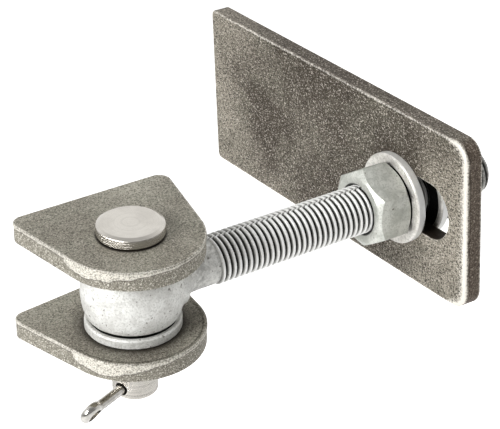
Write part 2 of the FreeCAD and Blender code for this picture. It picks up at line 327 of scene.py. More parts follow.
brightLook = {
    "turningSize": 0.2, "faceShare": 0.5, "clearSpan": (0.35, 0.62),
    "smearRough": 0.18, "turningRough": 0.10, "metallic": 1.0, "shine": 0.5,
}
pinLook = {
    **brightLook, "smearSize": 9.0, "clear": (0.70, 0.67, 0.615), "deep": (0.62, 0.59, 0.54),
    "mark": (0.36, 0.34, 0.31), "markSpan": (0.48, 0.66), "markShare": 0.2,
    "flankSpan": (12.85, 13.05), "shaftSpan": (-1.0, 0.0), "flankRough": 0.04, "flankCut": 11.0,
    "roughness": 0.2, "bumpDepth": 0.018,
}


def turnedSteel(name, look, axes=None):
    finish = Finish(bpy.data.materials.new(name))
    place = finish.place(axes)
    z = finish.apart(place)[2]
    smear = finish.noise(place, look["smearSize"], detail=2, rough=0.6, seed=2.2)
    across = finish.node("ShaderNodeVectorMath", {"operation": "LENGTH"},
                         {0: finish.stretch(place, (1, 1, 0))}, output="Value")
    lane = finish.node("ShaderNodeCombineXYZ", sockets={0: look["faceShare"] * across, 1: z})
    turning = finish.noise(lane, look["turningSize"], detail=2, rough=0.7, seed=0.4)
    colour = finish.mix(look["deep"], look["clear"], finish.step(smear, *look["clearSpan"]))
    rough, relief = look["roughness"], turning
    if "mark" in look:
        # Head and shaft are turned more coarsely on their sides than on the head's face
        marks = look["markShare"] * finish.step(1 - turning, *look["markSpan"])
        colour = finish.mix(colour, look["mark"], marks)
        flank = finish.step(across, *look["flankSpan"]) + (1 - finish.step(z, *look["shaftSpan"]))
        rough = rough + look["flankRough"] * flank
        relief = turning * (1 + look["flankCut"] * flank)
    if "seam" in look:
        # The legs' flat sides leave a dark line
        away = abs(finish.along(place, look["seamWay"]) - look["seamAt"])
        seam = (1 - finish.step(away, *look["seamSpan"])) * (1 - finish.step(across, *look["seamEnd"]))
        colour = finish.mix(colour, look["seam"], seam)
    rough = rough + look["smearRough"] * (smear - 0.5) + look["turningRough"] * (turning - 0.5)
    return finish.surface(colour, rough, relief, look)


pinSteel = turnedSteel("pinSteel", pinLook)
print("materials made:", len(bpy.data.materials))


# Mesh building, in millimetres of a piece's own frame

class Skin:
    # Points, faces and painted values of one mesh
    def __init__(self, *painted):
        self.points = []
        self.faces = []
        self.values = {name: [] for name in painted}

    def ring(self, points, **values):
        first = len(self.points)
        self.points.extend(points)
        for name, painted in self.values.items():
            painted.extend(values.get(name, [0.0] * len(points)))
        return list(range(first, len(self.points)))

    def bridge(self, near, far):
        for index in range(len(near)):
            after = (index + 1) % len(near)
            self.faces.append((near[index], near[after], far[after], far[index]))

    def bridgeAll(self, rings):
        for near, far in zip(rings, rings[1:]):
            self.bridge(near, far)

    def cap(self, *rings):
        # Fills the outer ring, leaving the further rings open
        flat = [index for ring in rings for index in ring]
        loops = [[Vector(self.points[index]) for index in ring] for ring in rings]
        for corners in tessellate_polygon(loops):
            self.faces.append(tuple(flat[corner] for corner in corners))


def meshOf(name, skin):
    mesh = bpy.data.meshes.new(name)
    mesh.from_pydata([Vector(point) * mm for point in skin.points], [], skin.faces)
    for key, painted in skin.values.items():
        mesh.attributes.new(key, "FLOAT", "POINT").data.foreach_set("value", painted)
    return mesh


def welded(mesh):
    # Joins points that meet and turns the faces outwards
    work = bmesh.new()
    work.from_mesh(mesh)
    bmesh.ops.remove_doubles(work, verts=work.verts, dist=weldGap)
    bmesh.ops.recalc_face_normals(work, faces=work.faces)
    work.to_mesh(mesh)
    work.free()
    return mesh


def helper(name, mesh):
    blank = bpy.data.objects.new(name, mesh)
    scene.collection.objects.link(blank)
    return blank


def shaped(blank, *tools):
    # Mesh of a helper after its modifiers; the helper and its tools are removed
    made = bpy.data.meshes.new_from_object(blank.evaluated_get(bpy.context.evaluated_depsgraph_get()))
    for spent in (blank, *tools):
        mesh = spent.data
        bpy.data.objects.remove(spent)
        bpy.data.meshes.remove(mesh)
    return made


def addPiece(name, mesh, place, body, node, material, sharpAngle=40):
    welded(mesh)
    mesh.shade_smooth()
    mesh.set_sharp_from_angle(angle=math.radians(sharpAngle))
    mesh.materials.clear()
    mesh.materials.append(material)
    piece = bpy.data.objects.new(name, mesh)
    scene.collection.objects.link(piece)
    piece.matrix_world = place
    piece.modifiers.new("evenShade", "WEIGHTED_NORMAL").keep_sharp = True
    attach(piece, body)
    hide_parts(node)
    print("piece", name, len(mesh.polygons), "faces")


def blend(low, high, value):
    # Smooth step from 0 at low to 1 at high
    share = min(max((value - low) / (high - low), 0.0), 1.0)
    return share * share * (3 - 2 * share)


def between(low, high, share):
    return low + share * (high - low)


def circleOutline(radius, count):
    angles = [2 * math.pi * index / count for index in range(count)]
    outward = [Vector((math.cos(angle), math.sin(angle))) for angle in angles]
    return [(radius * way, way) for way in outward]


def beltOutline(circles, spacing, leastArc=6, leastRun=2):
    # Walks anticlockwise round a belt over circles (x, y, radius); gives points and outward directions
    count = len(circles)
    headings = []
    for index in range(count):
        here, after = circles[index], circles[(index + 1) % count]
        run = Vector(after[:2]) - Vector(here[:2])
        headings.append(math.atan2(run.y, run.x) - math.acos((here[2] - after[2]) / run.length))
    walked = []
    for index in range(count):
        x, y, radius = circles[index]
        turn = (headings[index] - headings[index - 1]) % (2 * math.pi)
        steps = max(leastArc, math.ceil(radius * turn / spacing))
        for stepIndex in range(steps + 1):
            angle = headings[index - 1] + turn * stepIndex / steps
            way = Vector((math.cos(angle), math.sin(angle)))
            walked.append((Vector((x, y)) + radius * way, way))
        after = circles[(index + 1) % count]
        begin, end = walked[-1][0], Vector(after[:2]) + after[2] * way
        runs = max(leastRun, math.ceil((end - begin).length / spacing))
        walked.extend((begin.lerp(end, runIndex / runs), way) for runIndex in range(1, runs))
    return walked


# Edges of plate and lugs, painted with cut, rim, shear and painted shade

# Darkest painted shade, on hole walls and under neighbouring pieces
fullShade = 0.97
rimTone = {
    "turnCut": 0.7, "turnWearSheen": 0.6, "crack": 0.04, "coarse": 0.9, "fine": 2.1, "fineShare": 0.6,
    "backCut": 0.6, "backWearSheen": 0.6, "backFade": 0.25, "backRubSheen": 0.3,
}


def rimRows(top, bottom, here, look, edge):
    # Rows of a sheet's edge from top face to bottom face: inset, height, cut, rim, shear
    edge = {"fade": look["fadeWidth"], "sideCut": 1.0, **edge}
    # The rim value is wear with a painted sheen, fading onto the face
    topRound, backRound, wearSheen = edge["topRound"], edge["backRound"], edge["wearSheen"]
    crackFrom, crackTo = edge["breakShare"] - rimTone["crack"], edge["breakShare"] + rimTone["crack"]
    rows = [(topRound + edge["fade"] * share, top, 0, rubAndSheen * wearSheen, 1) for share, rubAndSheen in look["fadeSteps"]]
    for index in range(look["roundSteps"] + 1):
        angle = math.pi / 2 * index / look["roundSteps"]
        turned = (index / look["roundSteps"]) ** 3
        inset, level = topRound * (1 - math.sin(angle)), top - topRound * (1 - math.cos(angle))
        rubAndSheen = wearSheen * (1 - rimTone["turnWearSheen"] * turned)
        rows.append((inset, level, rimTone["turnCut"] * turned, rubAndSheen, 1))
    height = top - bottom - topRound - backRound
    for index in range(1, look["sideSteps"]):
        share = index / look["sideSteps"]
        level = top - topRound - share * height
        torn = blend(crackFrom, crackTo, share)
        spot = Vector((here.x, here.y, level))
        grain = noise.noise(spot * rimTone["coarse"])
        grain += rimTone["fineShare"] * noise.noise(spot * rimTone["fine"])
        inset = max(torn * (look["tearDepth"] + look["tearRough"] * grain), 0.0)
        rows.append((inset, level, edge["sideCut"], 0, 1 - torn))
    for index in range(look["roundSteps"] + 1):
        angle = math.pi / 2 * (1 - index / look["roundSteps"])
        inset = look["tearDepth"] + backRound * (1 - math.sin(angle))
        level = bottom + backRound * (1 - math.cos(angle))
        rows.append((inset, level, rimTone["backCut"], rimTone["backWearSheen"] * wearSheen, 0))
    inset = look["tearDepth"] + backRound
    rows.append((inset + rimTone["backFade"], bottom, 0, rimTone["backRubSheen"] * wearSheen, 0))
    rows.append((inset + look["fadeWidth"], bottom, 0, 0, 0))
    return rows


def addRim(skin, outline, rowsAt, side, shadeAmount=()):
    # Side is 1 on an outer edge and -1 round a hole; round a hole the cut walls get painted shade, and the last
    # argument gives that of its first rows
    table = [rowsAt(point) for point, way in outline]
    rings = []
    for level in range(len(table[0])):
        points = []
        for (point, way), rows in zip(outline, table):
            spot = point - side * rows[level][0] * way
            points.append((spot.x, spot.y, rows[level][1]))
        painted = {word: [float(rows[level][column]) for rows in table]
                   for column, word in ((2, "cut"), (3, "rim"), (4, "shear"))}
        if side < 0:
            levelShade = shadeAmount[level] if level < len(shadeAmount) else 0.0
            painted["paintedShade"] = [max(fullShade * cut, levelShade) for cut in painted["cut"]]
        rings.append(skin.ring(points, **painted))
    skin.bridgeAll(rings)
    return rings[0], rings[-1]


# Mounting plate: flat bar with one slot, rolled over at its slotted end

plateCut = {
    "spacing": 1.0, "cornerNear": 2.5, "cornerFar": 8.0, "slotEnds": (70.5, 100.5), "slotRadius": 12.0,
    "edgeRound": 0.7, "backRound": 0.7, "slotRound": 0.35, "rollOver": 1.2, "rollSpan": (108.0, 119.0),
    "fadeWidth": 1.2, "rollFade": 5.8, "fadeSteps": ((1.0, 0.0), (0.55, 0.23), (0.24, 0.48), (0.06, 0.78)),
    "roundSteps": 5, "sideSteps": 10, "tearDepth": 0.05, "tearRough": 0.07,
    "breakShare": 0.12, "breakWave": 0.1, "waveScale": 0.15, "waveSeed": 3.0, "slotBreak": 0.4,
    "plainWearSheen": 0.55, "rollWearSheen": 0.95, "longCut": 0.2, "endStart": 0.3,
}


def slottedPlate(look):
    low, high = [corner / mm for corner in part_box("mounting_plate")]
    near, far = look["cornerNear"], look["cornerFar"]
    outline = beltOutline([
        (low.x + near, low.z + near, near),
        (high.x - far, low.z + far, far),
        (high.x - far, high.z - far, far),
        (low.x + near, high.z - near, near),
    ], look["spacing"])
    slot = beltOutline([(end, 0.0, look["slotRadius"]) for end in look["slotEnds"]], look["spacing"])
    thickness = high.y - low.y

    def outerRows(point):
        # Long edges are rolled, only the ends are sheared
        roll = blend(*look["rollSpan"], point.x)
        scale = look["waveScale"]
        wave = noise.noise(Vector((point.x * scale, point.y * scale, look["waveSeed"])))
        farEnd = blend(high.x - far, high.x - look["endStart"] * far, point.x)
        nearEnd = blend(low.x + near, low.x + look["endStart"] * near, point.x)
        # The rolled end gets a wider band of wear with a stronger painted sheen
        return rimRows(thickness, 0.0, point, look, {
            "topRound": between(look["edgeRound"], look["rollOver"], roll), "backRound": look["backRound"],
            "fade": look["fadeWidth"] + look["rollFade"] * blend(0.0, 1.0, roll),
            "wearSheen": between(look["plainWearSheen"], look["rollWearSheen"], roll),
            "breakShare": look["breakShare"] + look["breakWave"] * wave,
            "sideCut": between(look["longCut"], 1.0, max(farEnd, nearEnd))})

    def slotRows(point):
        return rimRows(thickness, 0.0, point, look, {
            "topRound": look["slotRound"], "backRound": look["slotRound"],
            "wearSheen": look["plainWearSheen"], "breakShare": look["slotBreak"]})

    skin = Skin("cut", "rim", "shear", "paintedShade")
    outerTop, outerBottom = addRim(skin, outline, outerRows, 1)
    slotTop, slotBottom = addRim(skin, slot, slotRows, -1)
    skin.cap(outerTop, slotTop)
    skin.cap(outerBottom, slotBottom)
    return meshOf("slottedPlate", skin)


addPiece("slottedPlate", slottedPlate(plateCut), plateFrame, "plate", "mounting_plate",
         plateSteel)


# Weld-on lugs: sheared blanks with a burnished band that deepens on one side of the nose

lugCut = {
    "spacing": 0.6, "noseRadius": 28.3, "weldWidth": 68.0, "cornerRadius": 5.0,
    "holeRadius": 9.1, "holeSegments": 72, "holeRound": 0.4, "holeBreak": 0.5,
    # Painted shade by radius round the hole: a ring under the pin's head on the upper lug, a wide fading one round
    # the thrust washer on the lower lug
    "upperDirt": ((14.0, 0.0), (13.0, fullShade), (11.0, fullShade)),
    "lowerDirt": ((27.0, 0.0), (24.0, 0.12), (21.5, 0.35), (19.6, 0.8), (18.0, fullShade), (11.0, fullShade)),
    "edgeRound": 0.5, "backRound": 0.5, "roundSteps": 4, "sideSteps": 15,
    "fadeWidth": 1.4, "fadeSteps": ((1.0, 0.0), (0.5, 0.2), (0.2, 0.45), (0.05, 0.75)), "wearSheen": 0.54,
    "tearDepth": 0.24, "tearRough": 0.16, "bandShare": 0.14, "leastBand": 0.04, "bandWave": 0.05,
    "upperSwell": 0.46, "lowerSwell": 0.66, "swellHeading": -62.0, "swellWidth": 34.0, "swellWave": 0.09,
    "waveScale": 0.22, "fineScale": 0.6, "fineShare": 0.5,
}


def weldLug(name, look):
    mount = mounts[name + "_lug_weld_edge"]
    outwards = -Vector(mount["axis"])
    weldDistance = (pivot - Vector(mount["pos_m"])).dot(outwards) / mm
    bottom, top = spanAlong(name + "_lug", pinAxis)
    corner = look["cornerRadius"]
    reach = look["weldWidth"] / 2 - corner
    outline = beltOutline([
        (0.0, 0.0, look["noseRadius"]),
        (corner - weldDistance, reach, corner),
        (corner - weldDistance, -reach, corner),
    ], look["spacing"])

    def outerRows(point):
        heading = math.degrees(math.atan2(point.y, point.x))
        away = (heading - look["swellHeading"]) / look["swellWidth"]
        swell = math.exp(-away ** 2) if point.x > 0 else 0.0
        scale = look["waveScale"]
        wave = noise.noise(Vector((point.x * scale, point.y * scale, top)))
        wave += look["fineShare"] * noise.noise(point.to_3d() * look["fineScale"])
        share = look["bandShare"] + look[name + "Swell"] * swell
        share += (look["bandWave"] + look["swellWave"] * swell) * wave
        return rimRows(top, bottom, point, look, {
            "topRound": look["edgeRound"], "backRound": look["backRound"],
            "wearSheen": look["wearSheen"], "breakShare": max(share, look["leastBand"])})

    shadeRings = look[name + "Dirt"]
    drilled = {**look, "tearDepth": 0.0, "tearRough": 0.0}

    def holeRows(point):
        # The face gets painted shade where the pin's head or the thrust washer sits
        rows = rimRows(top, bottom, point, drilled, {
            "topRound": look["holeRound"], "backRound": look["holeRound"],
            "wearSheen": look["wearSheen"], "breakShare": look["holeBreak"]})
        return [*((radius - look["holeRadius"], top, 0, 0, 1) for radius, shadeAmount in shadeRings), *rows]

    skin = Skin("cut", "rim", "shear", "paintedShade")
    outerTop, outerBottom = addRim(skin, outline, outerRows, 1)
    holeShade = [*(shadeAmount for radius, shadeAmount in shadeRings), *[fullShade] * (len(look["fadeSteps"]) + 1)]
    hole = circleOutline(look["holeRadius"], look["holeSegments"])
    holeTop, holeBottom = addRim(skin, hole, holeRows, -1, holeShade)
    skin.cap(outerTop, holeTop)
    skin.cap(outerBottom, holeBottom)
    return meshOf(name + "Lug", skin), localFrame(pivot, outwards, pinAxis)


for lugName in ("upper", "lower"):
    lugMesh, lugFrame = weldLug(lugName, lugCut)
    addPiece(lugName + "Lug", lugMesh, lugFrame, lugName + "_lug", lugName + "_lug", lugSteel)


# Turned and stamped rings

def softened(corners, radius, steps=3, most=0.45):
    # Closed polygon of (radius, height) corners, each rounded over no more than a share of its sides
    rounded = []
    count = len(corners)
    for index in range(count):
        here = Vector(corners[index])
        before, after = Vector(corners[index - 1]) - here, Vector(corners[(index + 1) % count]) - here
        reach = min(radius, most * before.length, most * after.length)
        start, end = here + reach * before.normalized(), here + reach * after.normalized()
        for stepIndex in range(steps + 1):
            share = stepIndex / steps
            rounded.append(start.lerp(here, share).lerp(here.lerp(end, share), share))
    return rounded


def latheSkin(profile, segments, closed, wobble=0.0, shadeInside=0.0, rimSheen=0.0):
    # Turns a profile of (radius, height) about Z, with painted shade inside a radius and a painted highlight on
    # the outer rim
    wobbleScale, rimWidth = 0.12, 0.1
    skin = Skin("groove", "crest")
    rings = []
    outermost = max(radius for radius, height in profile)
    for radius, height in profile:
        points = []
        for index in range(segments):
            angle = 2 * math.pi * index / segments
            spot = Vector((radius * math.cos(angle), radius * math.sin(angle), height))
            grown = 1 + wobble * noise.noise(spot * wobbleScale) / max(radius, 1.0)
            points.append((spot.x * grown, spot.y * grown, height))
        rings.append(skin.ring(points, groove=[float(radius < shadeInside)] * segments,
                               crest=[rimSheen * (radius > outermost - rimWidth)] * segments))
    skin.bridgeAll(rings)
    if closed:
        skin.bridge(rings[-1], rings[0])
    return skin


washerForm = {"shadeFade": 0.9, "bevel": 0.6, "bevelDrop": 0.6, "soft": 0.16, "segments": 144, "wobble": 0.15}
# Clamp washers get a painted highlight on their outer rim
clampWasher = {"body": "clamp", "axis": boltAxis, "place": shankFrame, "bore": 10.5, "rimSheen": 0.85,
               "coat": washerCoat}
thrustWasher = {"axis": pinAxis, "place": eyeFrame, "bore": 9.5, "shadeInside": 17.0, "rimSheen": 0.0,
                "coat": boltCoat}
# Painted shade inside a radius: round the nut on the front washer, in the slot on the rear washer, where the
# thrust washers meet the eye and lugs
washers = {
    "frontWasher": {**clampWasher, "node": "front_washer", "shadeInside": 14.9},
    "rearWasher": {**clampWasher, "node": "rear_washer", "shadeInside": 16.4},
    "upperThrustWasher": {**thrustWasher, "node": "upper_thrust_washer", "body": "eye_bolt"},
    "lowerThrustWasher": {**thrustWasher, "node": "lower_thrust_washer", "body": "lower_lug"},
}


def stampedWasher(washer, look):
    bottom, top = spanAlong(washer["node"], washer["axis"])
    radius = radiusAbout(washer["node"], washer["axis"]) - look["wobble"]
    bore, shadeRadius = washer["bore"], washer["shadeInside"]
    unshadedRadius = shadeRadius + look["shadeFade"]
    corners = [(bore, bottom), (shadeRadius, bottom), (unshadedRadius, bottom), (radius - look["bevel"], bottom),
               (radius, bottom + look["bevelDrop"]), (radius, top - look["bevelDrop"]),
               (radius - look["bevel"], top), (unshadedRadius, top), (shadeRadius, top), (bore, top)]
    profile = softened(corners, look["soft"])
    shadeEdge = shadeRadius + look["soft"] / 2
    skin = latheSkin(profile, look["segments"], True, look["wobble"], shadeEdge, washer["rimSheen"])
    return meshOf(washer["node"], skin)


for name, washer in washers.items():
    addPiece(name, stampedWasher(washer, washerForm), washer["place"], washer["body"], washer["node"],
             washer["coat"])


# Hexagon nuts with turned chamfers

nutForm = {
    "acrossFlats": 30.0, "faceRadius": 14.1, "chamferAngle": 38.0, "bore": 10.1, "countersink": 0.9,
    "lip": 0.1, "cornerLoss": 0.16, "edgeSoft": 0.16, "waist": 0.3,
    "seatDirt": (1.0, 1.0, 1.0, 1.0, 1.0, 0.9, 0.1, 0.0),
    "mouthDirt": (1.0, 0.9, 0.15, 0.0, 0.0, 0.0, 0.0, 0.0),
    "sectorAngles": (-30.0, -29.2, -28.0, -24.0, -18.0, -9.0, 0.0, 9.0, 18.0, 24.0, 28.0, 29.2),
}


def hexNut(node, look):
    start, end = spanAlong(node, boltAxis)
    middle, half = (start + end) / 2, (end - start) / 2
    slope = math.tan(math.radians(look["chamferAngle"]))
    face, soft, lip = look["faceRadius"], look["edgeSoft"], look["lip"]
    mouth = look["bore"] + look["countersink"]
    angles, reaches = [], []
    for side in range(6):
        for angle in look["sectorAngles"]:
            reach = look["acrossFlats"] / 2 / math.cos(math.radians(angle))
            angles.append(math.radians(60 * side + angle))
            reaches.append(reach - (look["cornerLoss"] if angle == look["sectorAngles"][0] else 0.0))

    def rowsAt(reach):
        # Radius and height from the bore over the face and its softened chamfer to the waist
        drop = (reach - face) * slope
        return [(look["bore"], half - look["countersink"]), (mouth - lip, half - lip),
                (mouth + 2 * lip, half), (face - soft, half),
                (face + 0.4 * soft, half - 0.6 * soft * slope),
                (reach - 0.5 * soft, half - drop + 0.3 * soft),
                (reach, half - drop - 0.6 * soft), (reach, half * look["waist"])]

    skin = Skin("groove")
    rings = []
    table = [rowsAt(reach) for reach in reaches]
    seatSide = 1 if middle < spanAlong("mounting_plate", boltAxis)[0] else -1
    for flip in (1, -1):
        levels = range(len(table[0])) if flip == 1 else reversed(range(len(table[0])))
        for level in levels:
            # The seat side is painted in shade over its face and chamfer, the outer side at the bore's mouth
            shadeAmount = look["seatDirt"][level] if flip == seatSide else look["mouthDirt"][level]
            points = []
            for angle, rows in zip(angles, table):
                radius, height = rows[level]
                points.append((radius * math.cos(angle), radius * math.sin(angle), middle + flip * height))
            rings.append(skin.ring(points, groove=[shadeAmount] * len(points)))
    skin.bridgeAll(rings)
    skin.bridge(rings[-1], rings[0])
    return meshOf(node, skin)


for node, piece in (("front_nut", "frontNut"), ("rear_nut", "rearNut")):
    addPiece(piece, hexNut(node, nutForm), shankFrame, node, node, nutCoat,
             sharpAngle=32)


# Eye bolt: forged eye drawn into its neck, then a cut thread

eyeForm = {
    "girth": 20.0, "endRadius": 18.3, "bore": 9.35, "edgeRound": 1.6, "edgeShare": 0.8, "sideSteps": 6,
    "segments": 160, "neckRadius": 9.3, "neckStart": 11.5, "neckCut": 30.0, "neckSpare": 3.0,
    "neckRings": 24, "neckSegments": 96,
    "flareRadius": 8.0, "flareFrom": 24.5, "flareMost": 0.97, "flareHeight": 0.28, "highMost": 1.6,
    "voxel": 0.55, "smoothing": 6, "easing": 0.5, "lump": 0.12, "lumpSize": 3.5, "lumpStop": 1.0,
    "sootAndShade": (13.0, 22.0, 33.5, 35.0),
}
threadForm = {
    "start": 31.0, "plainTo": 33.7, "fullFrom": 35.2, "pitch": 2.5, "crest": 9.98, "root": 8.7,
    "segments": 72, "endChamfer": 2.0, "burr": 0.04, "burrScale": 0.8,
    "paintedShadeFrom": 0.22, "paintedShadeTo": 0.62, "brightFrom": 0.95, "brightStop": (20.0, 12.0),
    "endShade": (14.0, 8.0), "endShadeShare": 1.4,
    "form": ((0.02, 0.0), (0.10, 0.02), (0.19, 0.35), (0.28, 0.75), (0.33, 0.94), (0.38, 1.0), (0.50, 1.0),
             (0.62, 1.0), (0.67, 0.94), (0.72, 0.75), (0.81, 0.35), (0.90, 0.02)),
}


def remeshed(skins, look):
    # Welds closed skins into one voxel skin and eases its edges
    points, faces = [], []
    for skin in skins:
        faces.extend(tuple(index + len(points) for index in face) for face in skin.faces)
        points.extend(Vector(point) * mm for point in skin.points)
    mesh = bpy.data.meshes.new("forgingBlank")
    mesh.from_pydata(points, [], faces)
    blank = helper("forgingBlank", mesh)
    weld = blank.modifiers.new("weld", "REMESH")
    weld.mode = "VOXEL"
    weld.voxel_size = look["voxel"] * mm
    ease = blank.modifiers.new("ease", "SMOOTH")
    ease.factor = look["easing"]
    ease.iterations = look["smoothing"]
    return shaped(blank)


def forgedEye(look):
    bottom, top = spanAlong("eye_bolt", pinAxis)
    bulge = look["girth"] - look["endRadius"]
    rim = look["endRadius"] - look["edgeRound"]
    side = []
    for index in range(2 * look["sideSteps"] + 1):
        share = index / look["sideSteps"] - 1
        height = share * (top - look["edgeRound"] * look["edgeShare"])
        side.append((look["endRadius"] + bulge * (1 - share * share), height))
    corners = [(look["bore"], bottom), (rim, bottom), *side, (rim, top), (look["bore"], top)]
    barrel = latheSkin(corners, look["segments"], True)
    neck = Skin()
    rings = []
    length = look["neckCut"] + look["neckSpare"] - look["neckStart"]
    for index in range(look["neckRings"]):
        along = look["neckStart"] + length * index / (look["neckRings"] - 1)
        rise = min(max(look["flareFrom"] - along, 0.0), look["flareRadius"] * look["flareMost"])
        flare = look["flareRadius"] - math.sqrt(look["flareRadius"] ** 2 - rise * rise)
        wide = look["neckRadius"] + flare
        high = look["neckRadius"] + min(flare * look["flareHeight"], look["highMost"])
        points = []
        for turn in range(look["neckSegments"]):
            angle = 2 * math.pi * turn / look["neckSegments"]
            points.append((wide * math.sin(angle), along, high * math.cos(angle)))
        rings.append(neck.ring(points))
    neck.bridgeAll(rings)
    neck.faces.append(tuple(rings[0]))
    neck.faces.append(tuple(reversed(rings[-1])))
    return remeshed((barrel, neck), look)


def threadRows(look, neckRadius, boltEnd):
    # A grid sheared along the helix, held to plain circles at both ends
    turns = math.ceil((boltEnd - look["start"]) / look["pitch"]) + 2
    levels = [(turn - 1 + share, depth) for turn in range(turns) for share, depth in look["form"]]
    endRadius = look["crest"] - look["endChamfer"]
    brightStop = [boltEnd - reach for reach in look["brightStop"]]
    rows = []
    for level, depth in levels:
        points, paintedShade, bright = [], [], []
        for index in range(look["segments"]):
            angle = 2 * math.pi * index / look["segments"]
            along = look["start"] + look["pitch"] * (level + index / look["segments"])
            full = blend(look["plainTo"], look["fullFrom"], along)
            cut = look["root"] + (look["crest"] - look["root"]) * depth
            radius = neckRadius + full * (cut - neckRadius)
            along = min(max(along, look["start"]), boltEnd)
            radius = min(radius, endRadius + boltEnd - along)
            spot = Vector((radius * math.cos(angle), along, radius * math.sin(angle)))
            radius += look["burr"] * full * noise.noise(spot * look["burrScale"])
            points.append((radius * math.sin(angle), along, radius * math.cos(angle)))
            # Roots get painted shade with some dirt; crests get wear with a painted highlight, fading out towards
            # the bolt's end
            paintedShade.append(full * (1 - blend(look["paintedShadeFrom"], look["paintedShadeTo"], depth)))
            wornSheen = full * blend(look["paintedShadeTo"], look["brightFrom"], depth)
            bright.append(wornSheen * (1 - blend(*brightStop, along)))
        rows.append((points, paintedShade, bright))
    bare = [0.0] * look["segments"]
    ends = []
    outline = circleOutline(1.0, look["segments"])
    for along, radius in ((look["start"], neckRadius), (boltEnd, endRadius)):
        circle = [(radius * way.y, along, radius * way.x) for point, way in outline]
        ends.append((circle, bare, bare))
    return [ends[0], *rows, ends[1]]


def eyeBolt(eye, thread):
    boltEnd = spanAlong("eye_bolt", boltAxis)[1]
    skin = Skin("groove", "crest")
    rings = []
    for points, paintedShade, bright in threadRows(thread, eye["neckRadius"], boltEnd):
        rings.append(skin.ring(points, groove=paintedShade, crest=bright))
    skin.bridgeAll(rings)
    skin.cap(rings[-1])
    work = bmesh.new()
    work.from_mesh(forgedEye(eye))
    everything = [*work.verts, *work.edges, *work.faces]
    bmesh.ops.bisect_plane(work, geom=everything, plane_co=(0, eye["neckCut"] * mm, 0), plane_no=(0, 1, 0),
                           clear_outer=True)
    for vertex in work.verts:
        if vertex.co.y < (eye["neckCut"] - eye["lumpStop"]) * mm:
            lump = noise.noise(vertex.co / mm / eye["lumpSize"]) * eye["lump"] * mm
            vertex.co += vertex.normal * lump
    work.from_mesh(meshOf("thread", skin))
    bmesh.ops.remove_doubles(work, verts=work.verts, dist=weldGap)
    bmesh.ops.dissolve_degenerate(work, edges=work.edges, dist=weldGap / 2)
    bmesh.ops.bridge_loops(work, edges=[edge for edge in work.edges if edge.is_boundary])
    mesh = bpy.data.meshes.new("eyeBolt")
    work.to_mesh(mesh)
    work.free()
    # Soot with painted shade along the neck, painted shade towards the bolt's end
    neckDarkFrom, neckDarkFull, neckDarkFade, neckDarkTo = eye["sootAndShade"]
    endShade = [boltEnd - reach for reach in thread["endShade"]]
    sootAndShade = []
    for vertex in mesh.vertices:
        along = vertex.co.y / mm
        neckSootAndShade = blend(neckDarkFrom, neckDarkFull, along) * (1 - blend(neckDarkFade, neckDarkTo, along))
        sootAndShade.append(neckSootAndShade + thread["endShadeShare"] * blend(*endShade, along))
    mesh.attributes.new("sootAndShade", "FLOAT", "POINT").data.foreach_set("value", sootAndShade)
    return mesh


addPiece("eyeBolt", eyeBolt(eyeForm, threadForm), eyeFrame, "eye_bolt", "eye_bolt",
         boltCoat, sharpAngle=50)


# Hinge pin: turned head and shaft, drilled across near its end

pinForm = {
    "shaftRadius": 9.0, "headHeight": 4.3, "headBevel": 1.6, "bevelDrop": 0.9, "endChamfer": 1.0,
    "soft": 0.25, "segments": 144,
    "drillRadius": 2.75, "drillFromEnd": 4.5, "drillHeading": -68.5, "drillSegments": 40,
}


def hingePin(look):
    bottom, top = spanAlong("hinge_pin", pinAxis)
    head, shaft = radiusAbout("hinge_pin", pinAxis), look["shaftRadius"]
    seat, bevel, chamfer = top - look["headHeight"], look["headBevel"], look["endChamfer"]
    corners = [(0, bottom), (shaft - chamfer, bottom), (shaft, bottom + chamfer), (shaft, seat),
               (head, seat), (head, top - look["bevelDrop"]), (head - bevel, top), (0, top)]
    rounds = softened(corners, look["soft"])
    perCorner = len(rounds) // len(corners)
    profile = [corners[0], *rounds[perCorner:-perCorner], corners[-1]]
    turned = helper("turnedPin", welded(meshOf("turnedPin", latheSkin(profile, look["segments"], False))))
    heading = math.radians(look["drillHeading"])
    way = Vector((math.cos(heading), math.sin(heading), 0))
    drillPlace = localFrame(Vector((0, 0, bottom + look["drillFromEnd"])) * mm, Vector((0, 0, 1)), way)
    radius = look["drillRadius"] * mm
    drillMesh = bpy.data.meshes.new("drill")
    work = bmesh.new()
    bmesh.ops.create_cone(work, cap_ends=True, segments=look["drillSegments"], radius1=radius,
                          radius2=radius, depth=4 * shaft * mm, matrix=drillPlace)
    work.to_mesh(drillMesh)
    work.free()
    drill = helper("drill", drillMesh)
    cut = turned.modifiers.new("cut", "BOOLEAN")
    cut.operation = "DIFFERENCE"
    cut.object = drill
    return shaped(turned, drill)


addPiece("hingePin", hingePin(pinForm), eyeFrame, "pin", "hinge_pin", pinSteel,
         sharpAngle=32)


# Split pin: its CAD form, rolled a little further about its leg so that the ring shows, loose in its hole

splitForm = {"turn": -68.5, "roll": -28.0, "extraRoll": 14.0, "height": -42.65, "pushIn": 0.7, "lift": 0.5}
splitTurn, splitRoll = [math.radians(splitForm[word]) for word in ("turn", "roll")]
splitLook = {
    **brightLook, "smearSize": 3.0, "clear": (0.76, 0.74, 0.70), "deep": (0.58, 0.56, 0.52),
    "roughness": 0.14, "bumpDepth": 0.01,
    "seam": (0.03, 0.027, 0.024), "seamSpan": (0.25, 0.5), "seamEnd": (20.5, 22.5),
    "seamAt": math.cos(splitRoll) * (splitForm["height"] + splitForm["lift"]),
    "seamWay": (math.sin(splitRoll) * math.sin(splitTurn), -math.sin(splitRoll) * math.cos(splitTurn),
                math.cos(splitRoll)),
}
splitSteel = turnedSteel("splitSteel", splitLook, eyeFrame)


